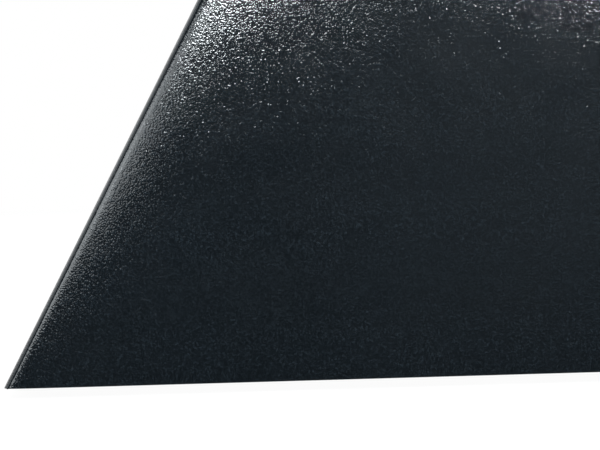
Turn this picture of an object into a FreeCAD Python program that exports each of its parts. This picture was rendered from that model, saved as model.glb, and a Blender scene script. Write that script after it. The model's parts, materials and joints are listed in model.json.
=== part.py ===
"""A fixed-slope slant board for calf and Achilles stretching.

A moulded shell with closed sides stands on four rubber feet. Its deck slopes 28 degrees from the
floor and meets the back panel in a square ridge, so the back panel leans in at 62 degrees.
A lattice of half-lapped plywood ribs carries the deck, clamped between it and the base plate.
A rubber tread lies in a recess of the deck, and a folding handle sits in a dish in the back panel.

The frame is in millimetres: +Z up, +X down the slope to the toe, +Y to the user's right as
they stand facing up the slope. The origin is on the floor, under the middle of the footprint.
"""

import FreeCAD, Part
import math
import os

from FreeCAD import Placement, Rotation, Vector

# ---- shell ----
LENGTH = 380.0        # footprint, from the foot of the back panel to the toe
WIDTH = 360.0         # footprint across
SLOPE = 28.0          # deck to floor, degrees
TOE_RISE = 9.0        # height of the upright toe face
SIDE_DRAFT = 1.5      # how far the side walls lean in, degrees
RIM_Z = 3.0           # the shell's lower rim above the floor
WALL = 3.0            # side, back and toe walls
DECK_WALL = 5.5       # deck wall, outside the tread recess
EDGE_R = 2.3          # rounding of the outer edges
RIDGE_R = 6.0         # rounding of the ridge

# ---- tread ----
DECK_BORDER = 17.0    # least width of bare deck round the tread
TREAD_CORNER_R = 12.0
TREAD_SHEET = 3.0     # thickness under the bars
TREAD_RECESS = 2.0
TREAD_FIT = 0.3       # gap between the tread and the side of its recess
BAR_LENGTH = 27.0     # one raised bar, across the slope
BAR_WIDTH = 4.0
BAR_RISE = 1.2
BAR_PITCH_ACROSS = 34.0
BAR_PITCH_ALONG = 12.0
TREAD_BORDER = 9.0    # plain border round the bars

# ---- base plate ----
BASE_RECESS = 1.0     # the base plate sits this far above the rim
BASE_THICK = 8.0
BASE_FIT = 0.3

# ---- ribs ----
RIB_THICK = 9.0
RIB_FIT = 0.3         # gap between a rib's edge and the shell's walls
LAP_FIT = 0.15        # gap on each side of a half lap
DISH_ROOM = 0.9       # gap between the long ribs and the handle's dish
LONG_RIB_NAMES = ["left_outer", "left_inner", "centre", "right_inner", "right_outer"]
OUTER_RIB_INSET = 24.0    # side of the footprint to the middle of an outer long rib
REAR_RIB_AHEAD = 6.5      # ridge to the middle of the rear cross rib
FRONT_RIB_BEHIND = 114.0  # toe to the middle of the front cross rib
RIB_NOSE = 8.0        # height of a long rib at its front end

# ---- base fasteners ----
SCREW_R = 2.0         # M4 shank
SCREW_HEAD_R = 4.0
SCREW_HOLE_R = 2.3
BOSS_R = 5.5
BOSS_HEIGHT = 16.0
BOSS_SINK = 1.5       # how far a boss reaches into the wall beside it
REAR_BOSS_AHEAD = 40.0    # foot of the back panel to the rearmost side boss
FRONT_BOSS_BEHIND = 52.0  # toe to the foremost side boss
INSERT_R = 2.8
INSERT_BORE_R = 2.05
INSERT_LENGTH = 8.0
INSERT_FIT = 0.02
PILOT_PAST = 2.0      # how far a boss's pilot runs past its insert
BASE_SCREW_LENGTH = 14.0

# ---- feet ----
FOOT_R = 18.0
FOOT_SOLE_R = 16.5
FOOT_POCKET = 3.0     # depth of the foot's pocket in the base plate
FOOT_FIT = 0.2
REAR_FOOT_AHEAD = 44.0    # foot of the back panel to the middle of a rear foot
FRONT_FOOT_BEHIND = 58.0  # toe to the middle of a front foot
FOOT_INSET = 48.0         # side of the footprint to the middle of a foot
FOOT_BORE_R = 6.6     # opening for the screw's head
FOOT_BORE_DEPTH = 3.8
FOOT_GROOVES_R = [10.5, 13.5]
FOOT_GROOVE = 1.0
WASHER_R = 6.0
WASHER_THICK = 0.8
PAN_HEAD_HEIGHT = 2.4

# ---- handle ----
HANDLE_UP = 104.0     # from the foot of the back panel to the dish's middle, along the panel
DISH_HEIGHT = 66.0    # tub outside, up the panel
DISH_WIDTH = 128.0
DISH_DEPTH = 24.0
DISH_WALL = 2.0
DISH_CORNER_R = 7.0
DISH_LIP = 9.0        # how far the flange reaches past the tub
FLANGE_THICK = 2.0
DISH_FIT = 0.5        # gap between the tub and its hole in the shell
PIVOT_UP = 18.0       # pivot above the dish's middle
PIVOT_DEPTH = 9.0     # pivot below the panel's face
PIVOT_R = 6.0         # round end of an arm
PIN_R = 2.5
PIN_FIT = 0.05
PIN_SHORT = 1.0       # a pin ends this far inside the arm's inner face
BEARING_LENGTH = 4.7  # the boss on the dish's wall that each arm turns against
ARM_THICK = 10.0
ARM_REACH = 22.0      # pivot to the middle of the grip
ARM_GAP = 0.3         # arm to the dish's bearing boss, and to its rest
GRIP_HEIGHT = 14.0
GRIP_THICK = 12.0
GRIP_R = 4.5
REST_SIZE = 8.0
DISH_SCREW_R = 1.45
DISH_SCREW_HEAD_R = 2.7
DISH_SCREW_HEAD = 1.3
DISH_SCREW_LENGTH = 9.5
DISH_BOSS_R = 4.0
DISH_BOSS_DEPTH = 8.0
DISH_SCREW_IN = 9.0   # top or bottom of the tub to the nearest screws

# ---- worked out from the above ----
BACK_ANGLE = 90.0 - SLOPE
SIN_SLOPE = math.sin(math.radians(SLOPE))
COS_SLOPE = math.cos(math.radians(SLOPE))
TAN_SLOPE = math.tan(math.radians(SLOPE))
TAN_DRAFT = math.tan(math.radians(SIDE_DRAFT))
COS_DRAFT = math.cos(math.radians(SIDE_DRAFT))
TOE_X = LENGTH / 2
BASE_Z = RIM_Z + BASE_RECESS
BACK_X = TOE_X - LENGTH
BASE_TOP = BASE_Z + BASE_THICK
FOOT_TOP = BASE_Z + FOOT_POCKET
FOOT_X = {"rear": BACK_X + REAR_FOOT_AHEAD, "front": TOE_X - FRONT_FOOT_BEHIND}
FOOT_Y = {"left": FOOT_INSET - WIDTH / 2, "right": WIDTH / 2 - FOOT_INSET}
ARM_OUTSIDE = DISH_WIDTH / 2 - DISH_WALL - BEARING_LENGTH - ARM_GAP
ARM_INSIDE = ARM_OUTSIDE - ARM_THICK
PIN_LENGTH = DISH_WIDTH / 2 - ARM_INSIDE - PIN_SHORT
PAST = 1.0            # how far a cutting solid runs past the face that it opens
FLUSH = 1e-3          # two heights nearer than this are the same
FAR = 2 * (LENGTH + WIDTH)


def box(x, y, z):
    """A box from three (low, high) pairs."""
    return Part.makeBox(x[1] - x[0], y[1] - y[0], z[1] - z[0], Vector(x[0], y[0], z[0]))


def rod(radius, length, at=(0, 0, 0), axis=(0, 0, 1)):
    return Part.makeCylinder(radius, length, Vector(*at), Vector(*axis))


def edges_along(solid, letter):
    """The straight edges of a box that run along the axis "x", "y" or "z"."""
    return [e for e in solid.Edges if abs(getattr(e.tangentAt(e.FirstParameter), letter)) > 0.9]


def rounded_plate(x, y, z, radius):
    """A box from (low, high) pairs whose four upright edges are rounded."""
    plate = box(x, y, z)
    return plate.makeFillet(radius, edges_along(plate, "z"))


def prism(points, direction):
    """The solid swept by the closed polygon of points along direction."""
    corners = [Vector(*p) for p in points]
    face = Part.Face(Part.makePolygon(corners + corners[:1]))
    return face.extrude(Vector(*direction))


def fused(shapes):
    """One solid from touching or overlapping ones."""
    return shapes[0].multiFuse(shapes[1:]).removeSplitter()


def moved(shape, placement):
    placed = shape.copy()
    placed.Placement = placement.multiply(placed.Placement)
    return placed


# ---- the shell's planes ----

def back_x(z, inset=0.0):
    """X of the back panel's face at height z, moved inwards by inset."""
    return BACK_X + (z - RIM_Z) * TAN_SLOPE + inset / COS_SLOPE


def deck_z(x, inset=0.0):
    """Height of the deck's face at x, moved inwards by inset."""
    return RIM_Z + TOE_RISE + (TOE_X - x) * TAN_SLOPE - inset / COS_SLOPE


def side_y(z, inset=0.0):
    """Distance of a side wall's face from the middle at height z, moved inwards by inset."""
    return WIDTH / 2 - (z - RIM_Z) * TAN_DRAFT - inset / COS_DRAFT


def ridge_point(inset=0.0, deck_inset=0.0):
    """(x, z) where the back panel and the deck meet, each moved inwards."""
    x0 = back_x(0.0, inset)
    z0 = deck_z(0.0, deck_inset)
    x = (x0 + z0 * TAN_SLOPE) / (1 + TAN_SLOPE ** 2)
    return x, z0 - x * TAN_SLOPE


def wedge(low_z, inset=0.0, deck_inset=0.0):
    """The board's wedge above low_z, with its faces moved inwards."""
    ridge_x, ridge_z = ridge_point(inset, deck_inset)
    toe_x = TOE_X - inset
    toe_top = deck_z(toe_x, deck_inset)
    profile = [(back_x(low_z, inset), low_z), (ridge_x, ridge_z)]
    if toe_top > low_z:
        profile += [(toe_x, toe_top), (toe_x, low_z)]
    else:
        profile += [(toe_x - (low_z - toe_top) / TAN_SLOPE, low_z)]
    length_prism = prism([(x, -FAR, z) for x, z in profile], (0, 2 * FAR, 0))
    low, high = side_y(low_z, inset), side_y(ridge_z, inset)
    section = [(-low, low_z), (low, low_z), (high, ridge_z), (-high, ridge_z)]
    width_prism = prism([(-FAR, y, z) for y, z in section], (2 * FAR, 0, 0))
    return length_prism.common(width_prism)


# Local frames: the deck's has X down the slope, the back panel's has X up the panel, and Z
# points out of the board in both.
RIDGE_X, RIDGE_Z = ridge_point()
DECK_LENGTH = (TOE_X - RIDGE_X) / COS_SLOPE
DECK_MIDDLE_X = (TOE_X + RIDGE_X) / 2
TREAD_LENGTH = DECK_LENGTH - 2 * DECK_BORDER
TREAD_WIDTH = 2 * (side_y(RIDGE_Z) - DECK_BORDER)
ON_DECK = Placement(
    Vector(DECK_MIDDLE_X, 0, deck_z(DECK_MIDDLE_X)), Rotation(Vector(0, 1, 0), SLOPE)
)
HANDLE_Z = RIM_Z + HANDLE_UP * COS_SLOPE
ON_BACK = Placement(
    Vector(back_x(HANDLE_Z), 0, HANDLE_Z), Rotation(Vector(0, 1, 0), -BACK_ANGLE)
)


REAR_RIB_X = RIDGE_X + REAR_RIB_AHEAD
FRONT_RIB_X = TOE_X - FRONT_RIB_BEHIND
MIDDLE_RIB_X = (REAR_RIB_X + FRONT_RIB_X) / 2
CROSS_RIB_X = {"rear": REAR_RIB_X, "middle": MIDDLE_RIB_X, "front": FRONT_RIB_X}
OUTER_RIB_Y = WIDTH / 2 - OUTER_RIB_INSET
LONG_RIB_Y = [OUTER_RIB_Y * side for side in (-1, -0.5, 0, 0.5, 1)]


def mirror_pair(y):
    return [-y, y]


def base_screw_spots():
    """(x, y) of the bosses that the base plate is screwed to, clear of the ribs and their ends."""
    top = BASE_TOP + BOSS_HEIGHT
    beside = side_y(top, WALL) - BOSS_R + BOSS_SINK
    between_ribs = [(REAR_RIB_X + MIDDLE_RIB_X) / 2, (MIDDLE_RIB_X + FRONT_RIB_X) / 2]
    along = [BACK_X + REAR_BOSS_AHEAD] + between_ribs + [TOE_X - FRONT_BOSS_BEHIND]
    behind = back_x(top, WALL) + BOSS_R - BOSS_SINK
    across = (LONG_RIB_Y[3] + LONG_RIB_Y[4]) / 2
    spots = [(x, y) for x in along for y in mirror_pair(beside)]
    return spots + [(behind, y) for y in mirror_pair(across)]


def foot_spots():
    return {
        f"{end}_{side}_foot": (x, y) for end, x in FOOT_X.items() for side, y in FOOT_Y.items()
    }


def dish_screw_spots():
    """(x, y) of the dish's screws in the back panel's frame."""
    up = DISH_HEIGHT / 2 - DISH_SCREW_IN
    across = DISH_WIDTH / 2 + DISH_LIP / 2
    return [(x, y) for x in mirror_pair(up) for y in mirror_pair(across)]


# ---- shell ----

def outer_wedge():
    """The wedge with its outer edges rounded, all but those of the rim."""
    body = wedge(RIM_Z)
    edges = []
    for edge in body.Edges:
        heights = [v.Point.z for v in edge.Vertexes]
        if max(heights) > RIM_Z + FLUSH and min(heights) < RIDGE_Z - FLUSH:
            edges.append(edge)
    return round_ridge(body.makeFillet(EDGE_R, edges))


def round_ridge(body):
    """Rounds the ridge by cutting the strip outside a rod that touches the deck and the back."""
    x, z = ridge_point(RIDGE_R, RIDGE_R)
    at_deck = (x + RIDGE_R * SIN_SLOPE, z + RIDGE_R * COS_SLOPE)
    at_back = (x - RIDGE_R * COS_SLOPE, z + RIDGE_R * SIN_SLOPE)
    beyond = ridge_point(-RIDGE_R, -RIDGE_R)
    out_deck = (at_deck[0] + RIDGE_R * SIN_SLOPE, at_deck[1] + RIDGE_R * COS_SLOPE)
    out_back = (at_back[0] - RIDGE_R * COS_SLOPE, at_back[1] + RIDGE_R * SIN_SLOPE)
    outline = [(x, z), at_deck, out_deck, beyond, out_back, at_back]
    strip = prism([(px, -WIDTH, pz) for px, pz in outline], (0, 2 * WIDTH, 0))
    strip = strip.cut(rod(RIDGE_R, 2 * WIDTH, (x, -WIDTH, z), (0, 1, 0)))
    return body.cut(strip)


def tread_recess():
    x = (-TREAD_LENGTH / 2, TREAD_LENGTH / 2)
    y = (-TREAD_WIDTH / 2, TREAD_WIDTH / 2)
    return moved(rounded_plate(x, y, (-TREAD_RECESS, DECK_WALL), TREAD_CORNER_R), ON_DECK)


def outer_shell():
    shell = outer_wedge().cut(wedge(RIM_Z - PAST, WALL, DECK_WALL))
    hole_x = DISH_HEIGHT / 2 + DISH_FIT
    hole_y = DISH_WIDTH / 2 + DISH_FIT
    hole = rounded_plate(
        (-hole_x, hole_x), (-hole_y, hole_y), (-2 * WALL, WALL), DISH_CORNER_R + DISH_FIT
    )
    bosses = [rod(BOSS_R, BOSS_HEIGHT, (x, y, BASE_TOP)) for x, y in base_screw_spots()]
    pilots = [
        rod(INSERT_R + INSERT_FIT, INSERT_LENGTH + PILOT_PAST, (x, y, BASE_TOP))
        for x, y in base_screw_spots()
    ]
    for x, y in dish_screw_spots():
        boss = rod(DISH_BOSS_R, DISH_BOSS_DEPTH, (x, y, -WALL / 2), (0, 0, -1))
        pilot = rod(DISH_SCREW_R + INSERT_FIT, DISH_BOSS_DEPTH, (x, y, 0), (0, 0, -1))
        bosses.append(moved(boss, ON_BACK))
        pilots.append(moved(pilot, ON_BACK))
    bosses = [b.common(wedge(RIM_Z, WALL / 2, DECK_WALL / 2)) for b in bosses]
    cuts = [tread_recess(), moved(hole, ON_BACK)] + pilots
    return fused([shell] + bosses).cut(Part.makeCompound(cuts))


# ---- tread ----

def tread_bars():
    """Short round-ended bars, each row half a pitch off the row before it."""
    half_length = TREAD_LENGTH / 2 - TREAD_BORDER
    half_width = TREAD_WIDTH / 2 - TREAD_BORDER
    rows = int(2 * half_length // BAR_PITCH_ALONG)
    straight = BAR_LENGTH - BAR_WIDTH
    bars = []
    for row in range(rows + 1):
        x = (row - rows / 2) * BAR_PITCH_ALONG
        count = int((2 * half_width - BAR_LENGTH) // BAR_PITCH_ACROSS) + 1 - row % 2
        for i in range(count):
            y = (i - (count - 1) / 2) * BAR_PITCH_ACROSS
            bars.append(round_bar(x, y, straight))
    return bars


def round_bar(x, y, straight):
    low, high = y - straight / 2, y + straight / 2
    half = BAR_WIDTH / 2
    z = TREAD_SHEET - TREAD_RECESS
    near_low, near_high = Vector(x - half, low, z), Vector(x - half, high, z)
    far_low, far_high = Vector(x + half, low, z), Vector(x + half, high, z)
    edges = [
        Part.makeLine(near_low, near_high),
        Part.Arc(near_high, Vector(x, high + half, z), far_high).toShape(),
        Part.makeLine(far_high, far_low),
        Part.Arc(far_low, Vector(x, low - half, z), near_low).toShape(),
    ]
    return Part.Face(Part.Wire(edges)).extrude(Vector(0, 0, BAR_RISE))


def grip_tread():
    x = TREAD_LENGTH / 2 - TREAD_FIT
    y = TREAD_WIDTH / 2 - TREAD_FIT
    top = TREAD_SHEET - TREAD_RECESS
    sheet = rounded_plate((-x, x), (-y, y), (-TREAD_RECESS, top), TREAD_CORNER_R - TREAD_FIT)
    return moved(sheet.multiFuse(tread_bars()), ON_DECK)


# ---- base plate, its screws and inserts ----

def countersunk_screw(x, y, z, length, radius, head_r):
    """A flat-head screw whose head lies flush at z and whose shank points up."""
    head = Part.makeCone(head_r, radius, head_r - radius, Vector(x, y, z))
    return fused([head, rod(radius, length, (x, y, z))])


def base_plate():
    front = under_deck_x(BASE_TOP) - BASE_FIT
    side = side_y(BASE_TOP, WALL) - BASE_FIT
    plate = box((back_x(BASE_TOP, WALL) + BASE_FIT, front), (-side, side), (BASE_Z, BASE_TOP))
    cuts = []
    for x, y in base_screw_spots():
        cuts.append(rod(SCREW_HOLE_R, BASE_THICK, (x, y, BASE_Z)))
        depth = SCREW_HEAD_R + INSERT_FIT - SCREW_HOLE_R
        cuts.append(
            Part.makeCone(SCREW_HEAD_R + INSERT_FIT, SCREW_HOLE_R, depth, Vector(x, y, BASE_Z))
        )
    for x, y in foot_spots().values():
        cuts.append(rod(FOOT_R + FOOT_FIT, FOOT_POCKET, (x, y, BASE_Z)))
        cuts.append(rod(INSERT_R + INSERT_FIT, BASE_THICK, (x, y, BASE_Z)))
    return plate.cut(Part.makeCompound(cuts))


def insert(x, y, z, length):
    """A brass threaded insert, drawn with a plain bore."""
    return rod(INSERT_R, length, (x, y, z)).cut(rod(INSERT_BORE_R, length, (x, y, z)))


def base_screws():
    return [
        countersunk_screw(x, y, BASE_Z, BASE_SCREW_LENGTH, SCREW_R, SCREW_HEAD_R)
        for x, y in base_screw_spots()
    ]


def base_inserts():
    return [insert(x, y, BASE_TOP, INSERT_LENGTH) for x, y in base_screw_spots()]


# ---- ribs ----

def rib_core():
    """The space that the ribs fill: face to face with the base plate and the deck wall."""
    return wedge(BASE_TOP, WALL + RIB_FIT, DECK_WALL)


def under_deck_x(z):
    """X where the underside of the deck wall comes down to height z."""
    return TOE_X - (z - deck_z(TOE_X, DECK_WALL)) / TAN_SLOPE


def lap_z(x):
    """Height at which the two ribs of a half lap at x meet."""
    return (BASE_TOP + deck_z(x, DECK_WALL)) / 2


def dish_room():
    """The space that the long ribs leave for the dish and its screws."""
    x = DISH_HEIGHT / 2 + DISH_ROOM
    y = DISH_WIDTH / 2 + DISH_ROOM
    room = [box((-x, x), (-y, y), (-DISH_DEPTH - DISH_ROOM, 0))]
    for sx, sy in dish_screw_spots():
        room.append(rod(DISH_BOSS_R + DISH_ROOM, DISH_BOSS_DEPTH + WALL, (sx, sy, 0), (0, 0, -1)))
    return moved(fused(room), ON_BACK)


def long_rib(y):
    half = RIB_THICK / 2
    nose_x = under_deck_x(BASE_TOP + RIB_NOSE)
    rib = rib_core().common(box((-FAR, nose_x), (y - half, y + half), (0, FAR)))
    slots = [
        box(
            (x - half - LAP_FIT, x + half + LAP_FIT),
            (y - half - PAST, y + half + PAST),
            (lap_z(x) - LAP_FIT, FAR),
        )
        for x in CROSS_RIB_X.values()
    ]
    return rib.cut(Part.makeCompound(slots + [dish_room()]))


def cross_rib(x):
    half = RIB_THICK / 2
    rib = rib_core().common(box((x - half, x + half), (-FAR, FAR), (0, FAR)))
    slots = [
        box(
            (x - half - PAST, x + half + PAST),
            (y - half - LAP_FIT, y + half + LAP_FIT),
            (0, lap_z(x) + LAP_FIT),
        )
        for y in LONG_RIB_Y
    ]
    return rib.cut(Part.makeCompound(slots))


# ---- feet ----

def foot(x, y):
    """A round rubber foot, seated in the base plate, with rings cut in its sole."""
    straight = rod(FOOT_R, FOOT_POCKET, (x, y, BASE_Z))
    taper = Part.makeCone(FOOT_SOLE_R, FOOT_R, BASE_Z, Vector(x, y, 0))
    cuts = [
        rod(FOOT_BORE_R, FOOT_BORE_DEPTH, (x, y, 0)),
        rod(SCREW_HOLE_R, FOOT_TOP, (x, y, 0)),
    ]
    for radius in FOOT_GROOVES_R:
        ring = rod(radius + FOOT_GROOVE / 2, FOOT_GROOVE, (x, y, 0))
        cuts.append(ring.cut(rod(radius - FOOT_GROOVE / 2, FOOT_GROOVE, (x, y, 0))))
    return fused([straight, taper]).cut(Part.makeCompound(cuts))


def foot_washers():
    z = FOOT_BORE_DEPTH - WASHER_THICK
    return [
        rod(WASHER_R, WASHER_THICK, (x, y, z)).cut(rod(SCREW_HOLE_R, WASHER_THICK, (x, y, z)))
        for x, y in foot_spots().values()
    ]


def foot_screws():
    """Pan-head screws from under each foot into the insert in the base plate."""
    top = FOOT_BORE_DEPTH - WASHER_THICK
    screws = []
    for x, y in foot_spots().values():
        head = rod(SCREW_HEAD_R, PAN_HEAD_HEIGHT, (x, y, top - PAN_HEAD_HEIGHT))
        rim = [e for e in head.Edges if e.BoundBox.ZMax < top - PAN_HEAD_HEIGHT + FLUSH]
        head = head.makeFillet(PAN_HEAD_HEIGHT / 3, rim)
        screws.append(fused([head, rod(SCREW_R, BASE_TOP - top, (x, y, top))]))
    return screws


def foot_inserts():
    return [insert(x, y, FOOT_TOP, BASE_TOP - FOOT_TOP) for x, y in foot_spots().values()]


# ---- handle, in the back panel's frame ----

def handle_dish():
    """The recessed tub with its flange, a bearing boss for each pin and a rest for each arm."""
    out_x, out_y = DISH_HEIGHT / 2, DISH_WIDTH / 2
    in_x, in_y = out_x - DISH_WALL, out_y - DISH_WALL
    lip_x, lip_y = out_x + DISH_LIP / 2, out_y + DISH_LIP
    flange = rounded_plate(
        (-lip_x, lip_x), (-lip_y, lip_y), (0, FLANGE_THICK), DISH_CORNER_R + DISH_LIP / 2
    )
    rim = [e for e in flange.Edges if e.BoundBox.ZMin > FLANGE_THICK - FLUSH]
    flange = flange.makeFillet(FLANGE_THICK / 2, rim)
    tub = rounded_plate((-out_x, out_x), (-out_y, out_y), (-DISH_DEPTH, 0), DISH_CORNER_R)
    hollow = rounded_plate(
        (-in_x, in_x),
        (-in_y, in_y),
        (-DISH_DEPTH + DISH_WALL, FLANGE_THICK + PAST),
        DISH_CORNER_R - DISH_WALL,
    )
    dish = flange.fuse(tub).cut(hollow)
    wall_middle = DISH_WALL / 2
    bearing_y = in_y - BEARING_LENGTH
    rest_x = PIVOT_UP - ARM_REACH / 2
    half = REST_SIZE / 2
    added, cuts = [], []
    for side in (-1, 1):
        at_bearing = (PIVOT_UP, side * bearing_y, -PIVOT_DEPTH)
        added.append(rod(PIVOT_R, BEARING_LENGTH + wall_middle, at_bearing, (0, side, 0)))
        rest_y = side * (ARM_OUTSIDE + ARM_INSIDE) / 2
        rest = box(
            (rest_x - half, rest_x + half),
            (rest_y - half, rest_y + half),
            (-DISH_DEPTH + wall_middle, -PIVOT_DEPTH - GRIP_THICK / 2 - ARM_GAP),
        )
        added.append(rest)
        pin_middle = (PIVOT_UP, 0, -PIVOT_DEPTH)
        cuts.append(rod(PIN_R + INSERT_FIT, out_y + PAST, pin_middle, (0, side, 0)))
    for x, y in dish_screw_spots():
        cuts.append(rod(DISH_SCREW_R + PIN_FIT, FLANGE_THICK, (x, y, 0)))
        head_z = FLANGE_THICK - DISH_SCREW_HEAD
        cuts.append(
            Part.makeCone(
                DISH_SCREW_R + PIN_FIT,
                DISH_SCREW_HEAD_R + PIN_FIT,
                DISH_SCREW_HEAD,
                Vector(x, y, head_z),
            )
        )
    return moved(fused([dish] + added).cut(Part.makeCompound(cuts)), ON_BACK)


def handle_bar():
    """The folding bar: two arms with round ends, and a rounded grip between them."""
    grip_x = PIVOT_UP - ARM_REACH
    half_height, half_thick = GRIP_HEIGHT / 2, GRIP_THICK / 2
    thick = (-PIVOT_DEPTH - half_thick, -PIVOT_DEPTH + half_thick)
    grip = box((grip_x - half_height, grip_x + half_height), (-ARM_OUTSIDE, ARM_OUTSIDE), thick)
    pieces = [grip.makeFillet(GRIP_R, edges_along(grip, "y"))]
    bores = []
    for low, high in ((-ARM_OUTSIDE, -ARM_INSIDE), (ARM_INSIDE, ARM_OUTSIDE)):
        pieces.append(box((grip_x, PIVOT_UP), (low, high), thick))
        pieces.append(rod(PIVOT_R, ARM_THICK, (PIVOT_UP, low, -PIVOT_DEPTH), (0, 1, 0)))
        start = (PIVOT_UP, low - PAST, -PIVOT_DEPTH)
        bores.append(rod(PIN_R + PIN_FIT, ARM_THICK + 2 * PAST, start, (0, 1, 0)))
    return moved(fused(pieces).cut(Part.makeCompound(bores)), ON_BACK)


def handle_pin(side):
    """A plain steel pin, pushed through the dish's wall and boss into the arm."""
    out_y = side * DISH_WIDTH / 2
    pin = rod(PIN_R, PIN_LENGTH, (PIVOT_UP, out_y, -PIVOT_DEPTH), (0, -side, 0))
    return moved(pin, ON_BACK)


def dish_screws():
    screws = []
    for x, y in dish_screw_spots():
        seat = Vector(x, y, FLANGE_THICK - DISH_SCREW_HEAD)
        head = Part.makeCone(DISH_SCREW_R, DISH_SCREW_HEAD_R, DISH_SCREW_HEAD, seat)
        shank = rod(DISH_SCREW_R, DISH_SCREW_LENGTH, (x, y, FLANGE_THICK), (0, 0, -1))
        screws.append(moved(fused([head, shank]), ON_BACK))
    return screws


# ---- export ----

def nodes():
    made = {
        "outer_shell": outer_shell(),
        "grip_tread": grip_tread(),
        "base_plate": base_plate(),
        "base_screws": base_screws(),
        "base_inserts": base_inserts(),
        "foot_washers": foot_washers(),
        "foot_screws": foot_screws(),
        "foot_inserts": foot_inserts(),
        "handle_dish": handle_dish(),
        "handle_bar": handle_bar(),
        "handle_pin_left": handle_pin(-1),
        "handle_pin_right": handle_pin(1),
        "dish_screws": dish_screws(),
    }
    for name, y in zip(LONG_RIB_NAMES, LONG_RIB_Y):
        made[f"long_rib_{name}"] = long_rib(y)
    for name, x in CROSS_RIB_X.items():
        made[f"cross_rib_{name}"] = cross_rib(x)
    for name, (x, y) in foot_spots().items():
        made[name] = foot(x, y)
    return made


def main():
    os.makedirs("parts", exist_ok=True)
    for name, shape in nodes().items():
        pieces = shape if isinstance(shape, list) else [shape]
        solids = [solid for piece in pieces for solid in piece.Solids]
        for solid in solids:
            if not solid.isValid():
                raise ValueError(f"{name} has a solid that is not valid")
        Part.makeCompound(solids).exportStep(f"parts/{name}.step")
        volume = sum(s.Volume for s in solids)
        print(f"{name}: {len(solids)} solid(s), {volume / 1000:.1f} cm3")


main()
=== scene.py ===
import json
import math

import bmesh
import bpy
import numpy as np
from mathutils import Matrix, Vector


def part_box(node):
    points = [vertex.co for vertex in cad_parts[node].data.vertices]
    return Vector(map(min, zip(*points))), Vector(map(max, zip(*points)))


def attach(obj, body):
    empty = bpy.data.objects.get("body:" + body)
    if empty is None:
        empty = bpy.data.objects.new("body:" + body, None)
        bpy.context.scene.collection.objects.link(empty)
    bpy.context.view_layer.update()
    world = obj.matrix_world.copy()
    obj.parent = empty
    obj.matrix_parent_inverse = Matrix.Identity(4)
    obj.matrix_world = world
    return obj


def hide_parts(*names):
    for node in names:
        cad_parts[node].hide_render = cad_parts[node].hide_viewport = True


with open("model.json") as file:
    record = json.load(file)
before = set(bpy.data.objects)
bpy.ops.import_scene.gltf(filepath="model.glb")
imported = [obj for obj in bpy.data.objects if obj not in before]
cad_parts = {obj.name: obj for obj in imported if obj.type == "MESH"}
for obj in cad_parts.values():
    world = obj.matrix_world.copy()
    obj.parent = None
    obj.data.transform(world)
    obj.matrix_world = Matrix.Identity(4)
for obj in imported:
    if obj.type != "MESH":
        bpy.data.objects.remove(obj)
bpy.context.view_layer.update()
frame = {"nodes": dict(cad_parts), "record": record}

# ---- outer shell ----
# One thick black ABS moulding with closed sides, open below. Its faces are flat, rolling off a
# little towards their edges, and the mould's pebble grain fades out on the rounded edges.
# Bosses inside it take the base plate's inserts and the handle's screws.

deck_mount = next(m for m in frame["record"]["mounts"] if m["name"] == "deck")
DECK_OUT = Vector(deck_mount["axis"])                  # outwards from the deck
BACK_OUT = Vector((-DECK_OUT.z, 0, DECK_OUT.x))        # outwards from the back panel
shell_low, shell_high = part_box("outer_shell")
RIM_Z, BACK_X, TOE_X, SIDE_Y = shell_low.z, shell_low.x, shell_high.x, shell_high.y
TOE_RISE = 0.009
SIDE_DRAFT = math.radians(1.5)
WALL = 0.003
DECK_WALL = 0.0055
EDGE_R = 0.0023
RIDGE_R = 0.006
ROLL_OFF = 0.001           # how far a face has rolled off where its rounded edge begins
ROLL_OFF_REACH = 0.0065    # the roll-off falls to a third in this distance
RECESS_DEPTH = 0.002
ONE_PLACE = 1e-6           # vertices closer than this are one


def plane_distance(points, out, through):
    return (points - np.array(through)) @ np.array(out)


SIDE_OUT = {s: Vector((0, s * math.cos(SIDE_DRAFT), math.sin(SIDE_DRAFT))) for s in (-1, 1)}
SHELL_PLANES = {
    "back": (BACK_OUT, (BACK_X, 0, RIM_Z)),
    "deck": (DECK_OUT, (TOE_X, 0, RIM_Z + TOE_RISE)),
    "toe": (Vector((1, 0, 0)), (TOE_X, 0, RIM_Z)),
    "left": (SIDE_OUT[-1], (0, -SIDE_Y, RIM_Z)),
    "right": (SIDE_OUT[1], (0, SIDE_Y, RIM_Z)),
}


def rounded_meet(a, b, radius):
    """Distance to the rounded corner between two faces that are a and b away."""
    inside = np.minimum(np.maximum(a, b), -radius)
    return inside + np.hypot(np.maximum(a + radius, 0), np.maximum(b + radius, 0))


def shell_distance(points):
    """Distance from each point to the shell's outer face, below zero inside it."""
    d = {name: plane_distance(points, *plane) for name, plane in SHELL_PLANES.items()}
    for side in ("left", "right"):
        for across in ("back", "deck", "toe"):
            d[side] = d[side] + ROLL_OFF * np.exp(np.minimum(d[across], 0) / ROLL_OFF_REACH)
    body = rounded_meet(d["deck"], d["back"], RIDGE_R)
    for name in ("toe", "left", "right"):
        body = rounded_meet(body, d[name], EDGE_R)
    return body


def onto_shell(points, rounds=8, step=1e-6):
    """The points moved straight onto the shell's outer face, those at the rim within its plane."""
    at_rim = points[:, 2] < RIM_Z + step
    for _ in range(rounds):
        here = shell_distance(points)
        slope = np.stack(
            [(shell_distance(points + step * axis) - here) / step for axis in np.eye(3)], 1
        )
        slope[at_rim, 2] = 0
        points = points - slope * (here / np.maximum((slope ** 2).sum(1), 1e-9))[:, None]
    return points


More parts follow.
